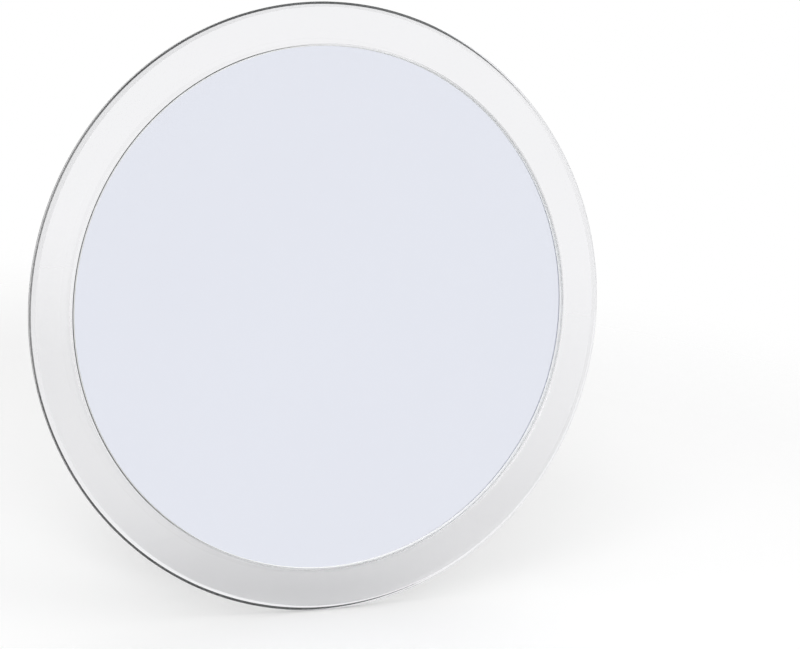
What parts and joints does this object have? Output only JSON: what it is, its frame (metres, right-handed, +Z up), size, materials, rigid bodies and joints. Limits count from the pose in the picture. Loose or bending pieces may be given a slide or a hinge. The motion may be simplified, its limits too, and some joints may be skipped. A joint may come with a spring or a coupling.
{
  "type": "suction cup makeup mirror",
  "caption": "Round magnifying mirror in a clear acrylic bezel, with a moulded rear cover and clear suction cups in keyhole seats.",
  "frame": {"origin": "on the wall, on the mirror's axis, midway between the suction cups", "axes": "+Z up, -Y out of the wall towards the user, +X to the user's right"},
  "size_m": [0.203, 0.0272, 0.203],
  "materials": {
    "clear_acrylic": "polished clear",
    "silvered_glass": "back-silvered glass",
    "white_foam": "closed-cell foam",
    "white_plastic": "satin moulded",
    "zinc_plate": "bright zinc plate",
    "clear_vinyl": "soft clear vinyl"
  },
  "bodies": {
    "mirror": {"clear_bezel": "clear_acrylic", "mirror_glass": "silvered_glass", "glass_tape": "white_foam", "centre_pad": "white_foam", "rear_cover": "white_plastic", "cover_screw_1": "zinc_plate", "cover_screw_2": "zinc_plate", "cover_screw_3": "zinc_plate", "cover_screw_4": "zinc_plate", "cover_screw_5": "zinc_plate", "cover_screw_6": "zinc_plate"},
    "top_cup": {"suction_cup_top": "clear_vinyl"},
    "left_cup": {"suction_cup_left": "clear_vinyl"},
    "right_cup": {"suction_cup_right": "clear_vinyl"}
  },
  "joints": [
    {"name": "top_cup_slide", "type": "slide", "parent": "mirror", "child": "top_cup", "axis": [0, 0, -1], "range_m": [0, 0.0095]},
    {"name": "left_cup_slide", "type": "slide", "parent": "mirror", "child": "left_cup", "axis": [0, 0, -1], "range_m": [0, 0.0095]},
    {"name": "right_cup_slide", "type": "slide", "parent": "mirror", "child": "right_cup", "axis": [0, 0, -1], "range_m": [0, 0.0095]}
  ]
}
